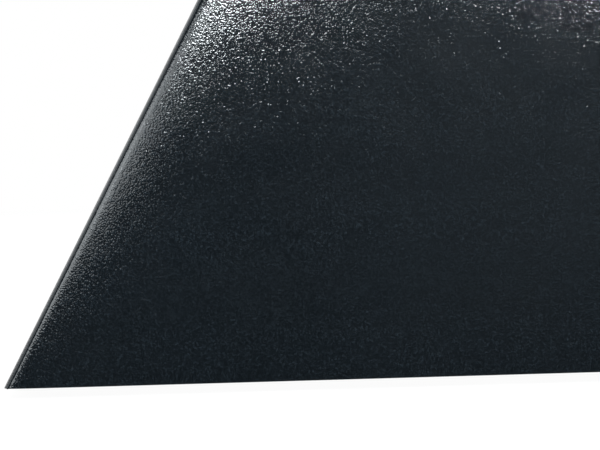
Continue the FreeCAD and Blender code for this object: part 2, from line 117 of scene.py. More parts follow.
def steps_along(length, first=0.00035, growth=1.32, longest=0.008):
    """Shares of an edge's length, close together at its ends."""
    half, step, at = [0.0], first, 0.0
    while at + step < length / 2:
        at += step
        half.append(at / length)
        step = min(step * growth, longest)
    return np.array(half + [0.5] + [1 - t for t in reversed(half)])


def meeting_point(*planes):
    """The point where three planes, each (outward direction, a point), meet."""
    outs = np.array([list(out) for out, _ in planes])
    reach = [np.dot(list(out), through) for out, through in planes]
    return np.linalg.solve(outs, reach)


def shell_corners(inset, deck_inset):
    """The corners of the shell's faces, moved inwards, keyed by the faces that meet there."""
    moved = {}
    for name, (out, through) in SHELL_PLANES.items():
        depth = deck_inset if name == "deck" else inset
        moved[name] = (out, np.array(through) - depth * np.array(out))
    rim = (Vector((0, 0, 1)), np.array((0, 0, RIM_Z)))
    corners = {}
    for side in ("left", "right"):
        corners["rear", side] = meeting_point(moved["back"], moved[side], rim)
        corners["ridge", side] = meeting_point(moved["back"], moved["deck"], moved[side])
        corners["nose", side] = meeting_point(moved["deck"], moved["toe"], moved[side])
        corners["toe", side] = meeting_point(moved["toe"], moved[side], rim)
    return corners


def add_patch(bm, corners, shares, finish, flip):
    """A grid of quads over a face, whose four corners are given in order round it."""
    a, b, c, d = (np.array(p) for p in corners)
    u, v = np.meshgrid(*shares, indexing="ij")
    u, v = u[..., None], v[..., None]
    points = (1 - u) * ((1 - v) * a + v * d) + u * ((1 - v) * b + v * c)
    points = finish(points.reshape(-1, 3)).reshape(points.shape)
    grid = [[bm.verts.new(p) for p in row] for row in points]
    for near, far in zip(grid, grid[1:]):
        for i in range(len(near) - 1):
            quad = [near[i], near[i + 1], far[i + 1], far[i]]
            bm.faces.new(quad if flip else quad[::-1])


def shell_skin(bm, inset, deck_inset, finish, flip):
    """The five faces of the shell: two sides, the back, the deck and the toe."""
    corner = shell_corners(inset, deck_inset)
    up, down_slope, across = SHELL_STEPS
    for side, turned in (("left", False), ("right", True)):
        around = [corner[at, side] for at in ("rear", "ridge", "nose", "toe")]
        add_patch(bm, around, (up, down_slope), finish, flip != turned)
    for ends, shares in (
        (("rear", "ridge"), (up, across)),
        (("ridge", "nose"), (down_slope, across)),
        (("nose", "toe"), (up, across)),
    ):
        left = [corner[at, "left"] for at in ends]
        right = [corner[at, "right"] for at in reversed(ends)]
        add_patch(bm, left + right, shares, finish, not flip)


def mesh_piece(name, bm):
    """A new object made of the finished mesh."""
    mesh = bpy.data.meshes.new(name)
    bm.to_mesh(mesh)
    bm.free()
    piece = bpy.data.objects.new(name, mesh)
    bpy.context.scene.collection.objects.link(piece)
    return piece


outer = shell_corners(0, 0)
SHELL_STEPS = [
    steps_along(np.linalg.norm(outer["ridge", "left"] - outer["rear", "left"])),
    steps_along(TOE_X - BACK_X),
    steps_along(2 * SIDE_Y),
]


def closed_shell():
    """The outer skin, the inner skin and the flat rim between them, facing outwards."""
    bm = bmesh.new()
    shell_skin(bm, 0, 0, onto_shell, False)
    shell_skin(bm, WALL, DECK_WALL, lambda points: points, True)
    bmesh.ops.remove_doubles(bm, verts=bm.verts, dist=ONE_PLACE)
    open_edges = [e for e in bm.edges if e.is_boundary]
    bmesh.ops.bridge_loops(bm, edges=open_edges)
    bmesh.ops.recalc_face_normals(bm, faces=bm.faces)
    if bm.calc_volume(signed=True) < 0:
        bmesh.ops.reverse_faces(bm, faces=bm.faces)
    return mesh_piece("shell_moulding", bm)


def rounded_rectangle(half_x, half_y, radius, turns=10):
    """Points round a rectangle with rounded corners, anticlockwise."""
    points = []
    for i, (sx, sy) in enumerate(((1, 1), (-1, 1), (-1, -1), (1, -1))):
        for t in range(turns + 1):
            angle = math.pi / 2 * (i + t / turns)
            x = sx * (half_x - radius) + radius * math.cos(angle)
            y = sy * (half_y - radius) + radius * math.sin(angle)
            points.append((x, y))
    return points


def stacked(bm, outlines):
    """A closed skin over flat outlines of one count, each with its height."""
    rings = [[bm.verts.new((x, y, height)) for x, y in outline] for outline, height in outlines]
    for lower, upper in zip(rings, rings[1:]):
        for i in range(len(lower)):
            j = (i + 1) % len(lower)
            bm.faces.new((lower[i], lower[j], upper[j], upper[i]))
    bm.faces.new(rings[0][::-1])
    bm.faces.new(rings[-1])


def turned(bm, profile, turns=32, ripple=None, place=Matrix()):
    """A closed ring or rod turned from (radius, height) points; ripple changes each radius."""
    rings = []
    for radius, height in profile:
        if radius == 0:
            rings.append([bm.verts.new(place @ Vector((0, 0, height)))])
            continue
        ring = []
        for i in range(turns):
            angle = 2 * math.pi * i / turns
            r = ripple(radius, height, angle) if ripple else radius
            at = Vector((r * math.cos(angle), r * math.sin(angle), height))
            ring.append(bm.verts.new(place @ at))
        rings.append(ring)
    hollow = len(rings[0]) > 1
    following = rings[1:] + rings[:1] if hollow else rings[1:]
    for near, far in zip(rings, following):
        for i in range(turns):
            j = (i + 1) % turns
            if len(near) == 1:
                bm.faces.new((near[0], far[j], far[i]))
            elif len(far) == 1:
                bm.faces.new((near[i], near[j], far[0]))
            else:
                bm.faces.new((near[i], near[j], far[j], far[i]))


def facing(out, up, at):
    """The matrix of a frame at a point, with Z along out and X along up."""
    z, x = Vector(out).normalized(), Vector(up).normalized()
    turn = Matrix((x, z.cross(x), z)).transposed().to_4x4()
    return Matrix.Translation(at) @ turn


DOWN_SLOPE = Vector((DECK_OUT.z, 0, -DECK_OUT.x))
UP_BACK = Vector((DECK_OUT.x, 0, DECK_OUT.z))
deck_middle = (Vector(outer["ridge", "left"]) + Vector(outer["nose", "right"])) / 2
ON_DECK = facing(DECK_OUT, DOWN_SLOPE, (deck_middle.x, 0, deck_middle.z))


def combine(piece, other, operation="DIFFERENCE"):
    """Cuts a closed piece from another, or joins it on, and removes it."""
    cut = piece.modifiers.new("cut", "BOOLEAN")
    cut.operation, cut.solver, cut.object = operation, "MANIFOLD", other
    bpy.context.view_layer.update()
    done = bpy.data.meshes.new_from_object(
        piece.evaluated_get(bpy.context.evaluated_depsgraph_get())
    )
    piece.modifiers.clear()
    piece.data = done
    bpy.data.objects.remove(other)


def smooth_by_angle(piece, degrees=30):
    """Shades smooth, with a crease wherever two faces meet at more than this angle."""
    bm = bmesh.new()
    bm.from_mesh(piece.data)
    for face in bm.faces:
        face.smooth = True
    limit = math.radians(degrees)
    for edge in bm.edges:
        edge.smooth = len(edge.link_faces) == 2 and edge.calc_face_angle(math.pi) < limit
    bm.to_mesh(piece.data)
    bm.free()


shell = closed_shell()
TREAD_FIT = 0.0003
TREAD_CORNER_R = 0.0117
deck_points = [ON_DECK.inverted() @ v.co for v in frame["nodes"]["grip_tread"].data.vertices]
TREAD_HALF_X = max(v.x for v in deck_points)
TREAD_HALF_Y = max(v.y for v in deck_points)
around = rounded_rectangle(
    TREAD_HALF_X + TREAD_FIT, TREAD_HALF_Y + TREAD_FIT, TREAD_CORNER_R + TREAD_FIT
)
bm = bmesh.new()
stacked(bm, [(around, -RECESS_DEPTH), (around, DECK_WALL)])
bm.transform(ON_DECK)
combine(shell, mesh_piece("recess_cutter", bm))

BACK_FRAME = facing(BACK_OUT, UP_BACK, (BACK_X, 0, RIM_Z))
back_points = [BACK_FRAME.inverted() @ v.co for v in frame["nodes"]["handle_dish"].data.vertices]
tub = [v for v in back_points if v.z < -WALL]
tub_low = min(v.x for v in tub)
tub_high = max(v.x for v in tub)
TUB_HALF_X = (tub_high - tub_low) / 2
TUB_HALF_Y = max(v.y for v in tub)
TUB_CORNER_R = 0.007
HOLE_GAP = 0.0005
ON_BACK = BACK_FRAME @ Matrix.Translation(((tub_low + tub_high) / 2, 0, 0))
around = rounded_rectangle(
    TUB_HALF_X + HOLE_GAP, TUB_HALF_Y + HOLE_GAP, TUB_CORNER_R + HOLE_GAP
)
bm = bmesh.new()
stacked(bm, [(around, -2 * WALL), (around, WALL)])
bm.transform(ON_BACK)
combine(shell, mesh_piece("hole_cutter", bm))


def solids(node, place=Matrix()):
    """The lowest and highest corners of each separate solid of a CAD node, in that frame."""
    mesh = frame["nodes"][node].data
    into = place.inverted()
    keys = [tuple(round(c * 1e6) for c in v.co) for v in mesh.vertices]
    joined = {key: key for key in keys}

    def root(key):
        while joined[key] != key:
            joined[key] = joined[joined[key]]
            key = joined[key]
        return key

    for edge in mesh.edges:
        a, b = edge.vertices
        joined[root(keys[a])] = root(keys[b])
    groups = {}
    for key, vertex in zip(keys, mesh.vertices):
        groups.setdefault(root(key), []).append(into @ vertex.co)
    boxes = [
        (Vector(map(min, zip(*points))), Vector(map(max, zip(*points))))
        for points in groups.values()
    ]
    return sorted(boxes, key=lambda box: tuple(box[0]))


def upright_at(low, high, height):
    """The matrix that stands a turned piece over the middle of a box, at that height."""
    return Matrix.Translation(((low.x + high.x) / 2, (low.y + high.y) / 2, height))


BOSS_R = 0.0055
BOSS_HEIGHT = 0.016
PILOT_FIT = 0.00002
PILOT_PAST = 0.002         # how far a boss's pilot runs past its insert
bm = bmesh.new()
for low, high in solids("base_inserts"):
    pilot_r = (high.x - low.x) / 2 + PILOT_FIT
    pilot_top = high.z + PILOT_PAST
    boss = [(BOSS_R, low.z), (BOSS_R, low.z + BOSS_HEIGHT), (0, low.z + BOSS_HEIGHT)]
    profile = [(0, pilot_top), (pilot_r, pilot_top), (pilot_r, low.z)] + boss
    turned(bm, profile[::-1], place=upright_at(low, high, 0))
bmesh.ops.recalc_face_normals(bm, faces=bm.faces)
combine(shell, mesh_piece("bosses", bm), "UNION")

FLANGE_BOSS_R = 0.004
FLANGE_BOSS_DEPTH = 0.008
FLANGE_PILOT_R = 0.00147
boss_top = -WALL / 2
boss_end = boss_top - FLANGE_BOSS_DEPTH
bosses = bmesh.new()
pilots = bmesh.new()
for low, high in solids("dish_screws", ON_BACK):
    at = ON_BACK @ upright_at(low, high, 0)
    outline = [(0, boss_top), (FLANGE_BOSS_R, boss_top), (FLANGE_BOSS_R, boss_end), (0, boss_end)]
    turned(bosses, outline, place=at)
    outline = [(0, WALL), (FLANGE_PILOT_R, WALL), (FLANGE_PILOT_R, low.z), (0, low.z)]
    turned(pilots, outline, place=at)
for cutter in (bosses, pilots):
    bmesh.ops.recalc_face_normals(cutter, faces=cutter.faces)
combine(shell, mesh_piece("flange_bosses", bosses), "UNION")
combine(shell, mesh_piece("flange_pilots", pilots))
smooth_by_angle(shell)

GRAIN_STARTS = 0.15 * EDGE_R    # in from a face's edge
GRAIN_GROWS = 0.9 * EDGE_R


def mark_grain(piece):
    """Stores how deep the mould's grain is: full on the faces, none on the rounded edges."""
    mesh = piece.data
    points = np.empty(len(mesh.vertices) * 3)
    mesh.vertices.foreach_get("co", points)
    points = points.reshape(-1, 3)
    away = np.stack([-plane_distance(points, *plane) for plane in SHELL_PLANES.values()])
    second = np.sort(away, axis=0)[1]
    t = np.clip((second - GRAIN_STARTS) / GRAIN_GROWS, 0, 1)
    grain = mesh.attributes.new("grain", "FLOAT", "POINT")
    grain.data.foreach_set("value", (t * t * (3 - 2 * t)).astype(np.float32))


mark_grain(shell)


class Finish:
    """A material's nodes, added one at a time. Numbers that never vary sit on the shader."""

    def __init__(self, name, **looks):
        self.material = bpy.data.materials.new(name)
        self.material.use_nodes = True
        self.nodes = self.material.node_tree.nodes
        self.links = self.material.node_tree.links
        self.shader = self.nodes["Principled BSDF"]
        for socket, value in looks.items():
            self.put(self.shader.inputs[socket.replace("_", " ")], value)

    def put(self, socket, value):
        if isinstance(value, bpy.types.NodeSocket):
            self.links.new(value, socket)
        else:
            socket.default_value = value

    def add(self, kind, inputs=None, **settings):
        node = self.nodes.new("ShaderNode" + kind)
        for key, value in settings.items():
            setattr(node, key, value)
        for key, value in (inputs or {}).items():
            self.put(node.inputs[key], value)
        return node

    def place(self, stretch=(1, 1, 1)):
        """Position on the piece in metres, shrunk along an axis to draw the pattern out."""
        at = self.add("TexCoord").outputs["Object"]
        if stretch == (1, 1, 1):
            return at
        return self.add("Mapping", {"Vector": at, "Scale": stretch}).outputs["Vector"]

    def noise(self, pitch, detail=2.0, roughness=0.5, stretch=(1, 1, 1)):
        inputs = {"Vector": self.place(stretch), "Scale": 1 / pitch}
        inputs.update({"Detail": detail, "Roughness": roughness})
        return self.add("TexNoise", inputs).outputs["Fac"]

    def ramp(self, value, low, high, to_low=0.0, to_high=1.0):
        inputs = {"Value": value, "From Min": low, "From Max": high}
        inputs.update({"To Min": to_low, "To Max": to_high})
        node = self.add("MapRange", inputs, interpolation_type="SMOOTHSTEP")
        return node.outputs["Result"]

    def maths(self, operation, *values):
        node = self.add("Math", operation=operation)
        for socket, value in zip(node.inputs, values):
            self.put(socket, value)
        return node.outputs[0]

    def mixed(self, share, first, second):
        node = self.add("Mix", data_type="RGBA")
        for key, value in zip((0, 6, 7), (share, first, second)):
            self.put(node.inputs[key], value)
        return node.outputs[2]

    def above(self, out, through):
        """Height above a plane, in metres."""
        at = self.add("VectorMath", {0: self.place(), 1: tuple(out)}, operation="DOT_PRODUCT")
        return self.maths("SUBTRACT", at.outputs["Value"], Vector(out).dot(Vector(through)))

    def bump(self, height, depth, below=None):
        inputs = {"Height": height, "Distance": depth}
        if below is not None:
            inputs["Normal"] = below
        return self.add("Bump", inputs).outputs["Normal"]

    def colour(self, value):
        self.put(self.shader.inputs["Base Color"], value)

    def roughness(self, value):
        self.put(self.shader.inputs["Roughness"], value)

    def normal(self, value):
        self.put(self.shader.inputs["Normal"], value)


def times(colour, share):
    """The colour made lighter or darker."""
    return tuple(share * c for c in colour[:3]) + (1,)


PEBBLE_HEIGHT = 0.7        # shares of the grain's depth
CREASE_HEIGHT = 0.5
CREASE_PITCH = 1.7         # to the pebbles' pitch
WAVE_PITCH = 0.11
WAVE_DEPTH = 0.0005
BLOTCH_PITCH = 0.04
# Painted shade darkens the grain's dips. The pebbles' crowns get a painted highlight that also
# stands for polish.
SHADED_HOLLOW_SHARES = (0.5, 0.65)     # of the plastic's colour, from blotch to blotch
LIT_TOP_SHARES = (1.35, 1.6)
SHINE_PITCH = 0.017
SHINE_DRIFT = 0.012        # how far roughness wanders either way


def grained_plastic(name, colour, pitch, depth, roughness, faded=False):
    """Moulded plastic: pebbles and creases, shade painted into their dips and a highlight, partly
    polish, painted on their crowns; faint waves and a soft shine.
    """
    finish = Finish(name, IOR=1.54)
    inputs = {"Vector": finish.place(), "Scale": 1 / pitch, "Randomness": 0.95}
    cells = finish.add("TexVoronoi", inputs).outputs["Distance"]
    pebbles = finish.ramp(cells, 0.05, 0.75, PEBBLE_HEIGHT, 0.0)
    middle = finish.maths("SUBTRACT", finish.noise(CREASE_PITCH * pitch, detail=0.0), 0.5)
    creases = finish.ramp(finish.maths("ABSOLUTE", middle), 0.0, 0.32, 0.0, CREASE_HEIGHT)
    pebbles = finish.maths("ADD", pebbles, creases)
    if faded:
        grain = finish.add("Attribute", attribute_name="grain").outputs["Fac"]
        pebbles = finish.maths("MULTIPLY", pebbles, grain)
    waves = finish.bump(finish.noise(WAVE_PITCH, detail=1.0), WAVE_DEPTH)
    finish.normal(finish.bump(pebbles, depth, waves))
    blotches = finish.noise(BLOTCH_PITCH, detail=3.0)
    # Painted shade in the grain's dips, and a painted highlight with some polish on the pebbles'
    # crowns.
    shaded_hollows = finish.mixed(blotches, *(times(colour, share) for share in SHADED_HOLLOW_SHARES))
    lit_tops = finish.mixed(blotches, *(times(colour, share) for share in LIT_TOP_SHARES))
    finish.colour(finish.mixed(finish.ramp(pebbles, 0.2, 1.1), shaded_hollows, lit_tops))
    least, most = roughness - SHINE_DRIFT, roughness + SHINE_DRIFT
    finish.roughness(finish.ramp(finish.noise(SHINE_PITCH), 0.3, 0.7, least, most))
    return finish.material


def dress(piece, material, body=None, instead_of=()):
    """Gives a new piece its material and its place in the table of pieces."""
    piece.data.materials.clear()
    piece.data.materials.append(material)
    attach(piece, body)
    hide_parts(*instead_of)


def dress_node(node, material):
    """Gives a CAD node a new material; its mesh stays."""
    for slot in frame["nodes"][node].material_slots:
        slot.link = "OBJECT"
        slot.material = material


SHELL_BLACK = (0.0055, 0.0077, 0.0097, 1)
shell_grain = grained_plastic(
    "shell_black", SHELL_BLACK, pitch=0.0005, depth=0.000027, roughness=0.12, faded=True
)
dress(shell, shell_grain, "board", ["outer_shell"])

# ---- grip tread ----
# A moulded rubber sheet glued into the deck's recess, a little proud of the deck. Short raised
# bars cross the slope in staggered rows, crowned on top and filleted into the sheet.

SHEET_TOP = 0.001
BAR_WIDTH = 0.004
BAR_LENGTH = 0.027
BAR_PITCH = 0.034
ROW_PITCH = 0.012
ROWS = 24
BARS_IN_ROW = (9, 8)
SHEET_EDGE = ((0, -0.002), (0, 0.0004), (0.00012, 0.00075), (0.0004, 0.00095), (0.0008, 0.001))
BAR_SECTION = (            # (in from the bar's edge, above the sheet)
    (-0.0005, -0.0003),
    (-0.0005, 0.00001),
    (-0.00018, 0.0001),
    (0.00002, 0.0004),
    (0.00014, 0.00075),
    (0.00045, 0.00103),
    (0.001, 0.00115),
    (0.0018, 0.0012),
)


def bar_outline(x, y, inset, turns=7):
    """Points round a tread bar, which has round ends and lies across the slope."""
    radius = BAR_WIDTH / 2 - inset
    straight = (BAR_LENGTH - BAR_WIDTH) / 2
    outline = []
    for end in (1, -1):
        for i in range(turns + 1):
            angle = math.pi * i / turns
            across = y + end * (straight + radius * math.sin(angle))
            outline.append((x + end * radius * math.cos(angle), across))
    return outline


bm = bmesh.new()
edge = [
    (rounded_rectangle(TREAD_HALF_X - i, TREAD_HALF_Y - i, TREAD_CORNER_R - i), height)
    for i, height in SHEET_EDGE
]
stacked(bm, edge)
tread = mesh_piece("ribbed_tread", bm)
bm = bmesh.new()
for row in range(ROWS):
    x = (row - (ROWS - 1) / 2) * ROW_PITCH
    count = BARS_IN_ROW[row % 2]
    for i in range(count):
        y = (i - (count - 1) / 2) * BAR_PITCH
        stacked(bm, [(bar_outline(x, y, inset), SHEET_TOP + up) for inset, up in BAR_SECTION])
combine(tread, mesh_piece("bars", bm), "UNION")
tread.data.transform(ON_DECK)
smooth_by_angle(tread, 40)

RUBBER_BLACK = (0.0155, 0.0158, 0.0165, 1)


def rubber(name, out, through, worn_from, worn_to):
    """Matt moulded rubber, scuffed and dusted paler where its height above a plane says."""
    finish = Finish(name, Specular_IOR_Level=0.35)
    height = finish.above(out, through)
    worn = finish.maths("MULTIPLY", finish.ramp(height, worn_from, worn_to), finish.noise(0.006))
    blotches = finish.noise(0.03, detail=4.0, roughness=0.6)
    plain = finish.mixed(blotches, times(RUBBER_BLACK, 0.85), times(RUBBER_BLACK, 1.2))
    finish.colour(finish.mixed(worn, plain, times(RUBBER_BLACK, 2.6)))
    finish.roughness(finish.ramp(worn, 0.0, 0.6, 0.72, 0.56))
    skin = finish.bump(finish.noise(0.0007, detail=3.0), 0.00003)
    finish.normal(finish.bump(finish.noise(0.00018, detail=1.0), 0.000008, skin))
    return finish.material


tread_rubber = rubber("tread_black", DECK_OUT, deck_middle, worn_from=0.0016, worn_to=0.0023)
dress(tread, tread_rubber, "board", ["grip_tread"])

# ---- ribs ----
# Five long and three cross ribs of seven-ply birch, sawn, half-lapped into each other and glued
# inside the shell, where they carry the deck.

BIRCH = (0.56, 0.40, 0.24, 1)
END_GRAIN = (0.36, 0.23, 0.125, 1)
GLUE_LINE = (0.13, 0.075, 0.04, 1)
PLIES = 7
GLUE_SHARE = 0.06          # of a ply's thickness, either side of the joint
LONG_GRAIN = 0.04          # the wood's figure is drawn out along the rib by one over this


def birch_ply(node, across):
    """Birch plywood whose plies are stacked along one axis, across a rib's thickness."""
    low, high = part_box(node)
    thickness = high[across] - low[across]
    finish = Finish("birch_" + node, Specular_IOR_Level=0.3)
    split = finish.add("SeparateXYZ", {0: finish.place()}).outputs
    depth = finish.maths("SUBTRACT", split[across], low[across])
    ply = finish.maths("MULTIPLY", depth, PLIES / thickness)
    within = finish.maths("FRACT", ply)
    glue = finish.maths("COMPARE", within, 0.0, GLUE_SHARE)
    turned_ply = finish.maths("MODULO", finish.maths("FLOOR", ply), 2.0)
    facing_out = finish.add("SeparateXYZ", {0: finish.add("TexCoord").outputs["Normal"]})
    face = finish.maths("GREATER_THAN", finish.maths("ABSOLUTE", facing_out.outputs[across]), 0.7)
    stretch = (LONG_GRAIN, 1, 1) if across == 1 else (1, LONG_GRAIN, 1)
    grain = finish.noise(0.0016, detail=4.0, roughness=0.65, stretch=stretch)
    figure = finish.noise(0.03, detail=2.0, stretch=stretch)
    veneer = finish.mixed(grain, times(BIRCH, 0.78), times(BIRCH, 1.12))
    veneer = finish.mixed(finish.ramp(figure, 0.45, 0.75), veneer, times(BIRCH, 0.8))
    edge = finish.mixed(turned_ply, END_GRAIN, times(BIRCH, 0.85))
    edge = finish.mixed(glue, edge, GLUE_LINE)
    finish.colour(finish.mixed(face, edge, veneer))
    finish.roughness(finish.ramp(grain, 0.2, 0.8, 0.55, 0.72))
    finish.normal(finish.bump(grain, 0.00012))
    return finish.material


for node in frame["nodes"]:
    if node.startswith("long_rib"):
        dress_node(node, birch_ply(node, 1))
    elif node.startswith("cross_rib"):
        dress_node(node, birch_ply(node, 0))

# ---- base plate ----
# A grey-black moulded plate that closes the shell from below, duller and coarser than the shell.
# Countersunk M4 screws hold it to brass inserts in the shell's bosses.

BASE_GREY = (0.019, 0.0205, 0.0225, 1)
base_grain = grained_plastic("base_grey", BASE_GREY, pitch=0.0008, depth=0.00003, roughness=0.42)
dress_node("base_plate", base_grain)

THREAD_DEPTH = 0.0003
ROWS_A_PITCH = 5
HEAD_STEP = 0.0001         # from the head's underside to the thread's first row
POINT_SHARE = 0.6          # a screw's point to its shank
CROSS_ARM = 0.26           # half an arm's width to the recess's reach
CROSS_TIP = 0.45           # the recess's floor to its mouth
CUT_PAST = 0.0002          # how far the recess's cutter stands out of the head


def threaded(start, end, radius, pitch):
    """Profile rows of a shank, and the ripple that winds a thread round it."""
    count = max(2, round(abs(end - start) / pitch * ROWS_A_PITCH))
    rows = [(radius, start + (end - start) * i / count) for i in range(count + 1)]

    def wound(r, height, angle):
        if r != radius:
            return r
        turn = (height / pitch - angle / (2 * math.pi)) % 1
        return r - THREAD_DEPTH * abs(2 * turn - 1)

    return rows, wound


def screw(name, head, shank_r, pitch, length, recess_r, recess_depth):
    """A turned and rolled screw, its head's face at height 0 and its point down, cross recessed."""
    bm = bmesh.new()
    rows, wound = threaded(head[-1][1] - HEAD_STEP, -length + shank_r / 2, shank_r, pitch)
    profile = [(0, head[0][1])] + list(head) + rows
    profile += [(shank_r * POINT_SHARE, -length), (0, -length)]
    turned(bm, profile[::-1], 24, wound)
    bmesh.ops.recalc_face_normals(bm, faces=bm.faces)
    blank = mesh_piece(name, bm)
    bm = bmesh.new()
    wide, deep = recess_r, -recess_depth
    narrow = CROSS_ARM * recess_r
    cross = [(wide, narrow), (narrow, narrow), (narrow, wide)]
    cross += [(-x, y) for x, y in reversed(cross)]
    cross += [(-x, -y) for x, y in cross]
    top = head[0][1] + CUT_PAST
    tip = [(CROSS_TIP * x, CROSS_TIP * y) for x, y in cross]
    stacked(bm, [(tip, top + deep), (cross, top)])
    bmesh.ops.recalc_face_normals(bm, faces=bm.faces)
    combine(blank, mesh_piece("recess", bm))
    return blank


def set_out(name, pattern, places):
    """One piece made of a copy of the pattern at each place."""
    bm = bmesh.new()
    for place in places:
        copy = pattern.data.copy()
        copy.transform(place)
        bm.from_mesh(copy)
        bpy.data.meshes.remove(copy)
    bpy.data.objects.remove(pattern)
    piece = mesh_piece(name, bm)
    smooth_by_angle(piece, 35)
    return piece


def metal(name, colour, roughness, streak=(1, 1, 1)):
    """Plated metal with fine turning marks, a few scratches and slightly uneven tarnish."""
    finish = Finish(name, Metallic=1.0)
    tarnish = finish.noise(0.004, detail=4.0, roughness=0.65)
    finish.colour(finish.mixed(tarnish, times(colour, 0.78), colour))
    marks = finish.noise(0.0003, detail=2.0, stretch=streak)
    finish.roughness(finish.ramp(tarnish, 0.25, 0.75, roughness - 0.07, roughness + 0.09))
    finish.normal(finish.bump(marks, 0.000006))
    return finish.material


steel = metal("zinc_plated_steel", (0.56, 0.57, 0.585, 1), 0.30)
brass = metal("turned_brass", (0.72, 0.52, 0.22, 1), 0.26, streak=(1, 1, 6))

HEAD_R = 0.004
SHANK_R = 0.002
M4_PITCH = 0.0007
COUNTERSUNK = ((0.0036, 0), (0.00385, -0.00005), (HEAD_R, -0.0002), (SHANK_R, -0.002))
FACE_DOWN = Matrix.Rotation(math.pi, 4, "X")
M4_RECESS_R = 0.0023
M4_RECESS_DEPTH = 0.0018


def drive_up(kind, head, node, first_turn, next_turn):
    """M4 screws driven upwards from below, each stopped at its own turn."""
    spots = solids(node)
    length = spots[0][1].z - spots[0][0].z
    pattern = screw(kind, head, SHANK_R, M4_PITCH, length, M4_RECESS_R, M4_RECESS_DEPTH)
    places = []
    for i, (low, high) in enumerate(spots):
        turn = Matrix.Rotation(first_turn + next_turn * i, 4, "Z")
        places.append(upright_at(low, high, low.z) @ turn @ FACE_DOWN)
    screws = set_out(kind + "_screws", pattern, places)
    dress(screws, steel, "board", [node])


drive_up("countersunk", COUNTERSUNK, "base_screws", first_turn=0, next_turn=0.7)

BORE_R = 0.00205
KNURLS = 24
KNURL_DEPTH = 0.00018
INSERT_EDGE = 0.0003
INSERT_GROOVE = 0.0004
BORE_EDGE = 0.0002


def insert_pattern(radius, length):
    """A brass insert: two knurled bands either side of a plain groove."""
    outside = [                # a groove parts the two knurled bands
        (radius - INSERT_EDGE, 0),
        (radius, INSERT_EDGE),
        (radius, 0.38 * length),
        (radius - INSERT_GROOVE, 0.42 * length),
        (radius - INSERT_GROOVE, 0.56 * length),
        (radius, 0.6 * length),
        (radius, length - INSERT_EDGE),
        (radius - INSERT_EDGE, length),
    ]
    inside = [(BORE_R + BORE_EDGE, length), (BORE_R, length - BORE_EDGE), (BORE_R, BORE_EDGE)]

    def knurled(r, height, angle):
        return r - KNURL_DEPTH * abs(math.sin(KNURLS / 2 * angle)) if r == radius else r

    bm = bmesh.new()
    turned(bm, outside + inside + [(BORE_R + BORE_EDGE, 0)], 4 * KNURLS, knurled)
    bmesh.ops.recalc_face_normals(bm, faces=bm.faces)
    return mesh_piece("insert", bm)


def set_inserts(name, node):
    """Brass inserts pressed in where a CAD node has them."""
    spots = solids(node)
    low, high = spots[0]
    places = [upright_at(a, b, a.z) for a, b in spots]
    piece = set_out(name, insert_pattern((high.x - low.x) / 2, high.z - low.z), places)
    dress(piece, brass, "board", [node])


set_inserts("boss_inserts", "base_inserts")

# ---- feet ----
# Four round moulded rubber feet, seated in pockets of the base plate, with two rings cut in each
# sole. Each is held by a washer and a pan-head screw into a brass insert.

FOOT_SECTION = (            # (radius, height), from the bore's mouth outwards and back
    (0.0066, 0.0038),
    (0.0066, 0.0006),
    (0.0072, 0.0),
    (0.0098, 0.0),
    (0.01, 0.0002),
    (0.01, 0.001),
    (0.011, 0.001),
    (0.011, 0.0002),
    (0.0112, 0.0),
    (0.0128, 0.0),
    (0.013, 0.0002),
    (0.013, 0.001),
    (0.014, 0.001),
    (0.014, 0.0002),
    (0.0142, 0.0),
    (0.0158, 0.0),
    (0.0163, 0.0002),
    (0.01664, 0.0007),
    (0.018, 0.004),
    (0.018, 0.0068),
    (0.0178, 0.007),
    (0.0023, 0.007),
    (0.0023, 0.0038),
)
foot_rubber = rubber("foot_black", (0, 0, -1), (0, 0, 0), worn_from=-0.0012, worn_to=0.0001)
for name in [n for n in frame["nodes"] if n.endswith("_foot")]:
    low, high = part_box(name)
    bm = bmesh.new()
    turned(bm, FOOT_SECTION, 72, place=upright_at(low, high, low.z))
    bmesh.ops.recalc_face_normals(bm, faces=bm.faces)
    foot = mesh_piece(name + "_rubber", bm)
    smooth_by_angle(foot, 35)
    dress(foot, foot_rubber, "board", [name])

WASHER_BORE_R = 0.0023
WASHER_EDGE = 0.0002
BORE_CHAMFER = 0.0001
spots = solids("foot_washers")
low, high = spots[0]
wide, thick = (high.x - low.x) / 2, high.z - low.z
bm = bmesh.new()
ring = [
    (WASHER_BORE_R, BORE_CHAMFER),
    (WASHER_BORE_R, thick),
    (wide - WASHER_EDGE, thick),
    (wide, thick - WASHER_EDGE),
    (wide, WASHER_EDGE),
    (wide - WASHER_EDGE, 0),
    (WASHER_BORE_R + BORE_CHAMFER, 0),
]
turned(bm, ring, 48)
bmesh.ops.recalc_face_normals(bm, faces=bm.faces)
places = [upright_at(a, b, a.z) for a, b in spots]
washers = set_out("plain_washers", mesh_piece("washer", bm), places)
dress(washers, steel, "board", ["foot_washers"])

PAN_HEAD = (
    (0.0022, 0),
    (0.003, -0.0001),
    (0.0036, -0.0004),
    (0.0039, -0.0008),
    (HEAD_R, -0.0013),
    (HEAD_R, -0.0024),
    (SHANK_R, -0.0024),
)
drive_up("pan_head", PAN_HEAD, "foot_screws", first_turn=0.4, next_turn=1)
set_inserts("plate_inserts", "foot_inserts")

# ---- handle dish ----
# A moulded tub with a flange, sunk in the back panel and held by four small countersunk screws.
# Bosses inside it carry the bar's pins, and two rests stop the bar when it is folded.

HANDLE_BLACK = (0.0125, 0.0132, 0.0145, 1)
dish_grain = grained_plastic(
    "handle_black", HANDLE_BLACK, pitch=0.0009, depth=0.00003, roughness=0.34
)
dress_node("handle_dish", dish_grain)

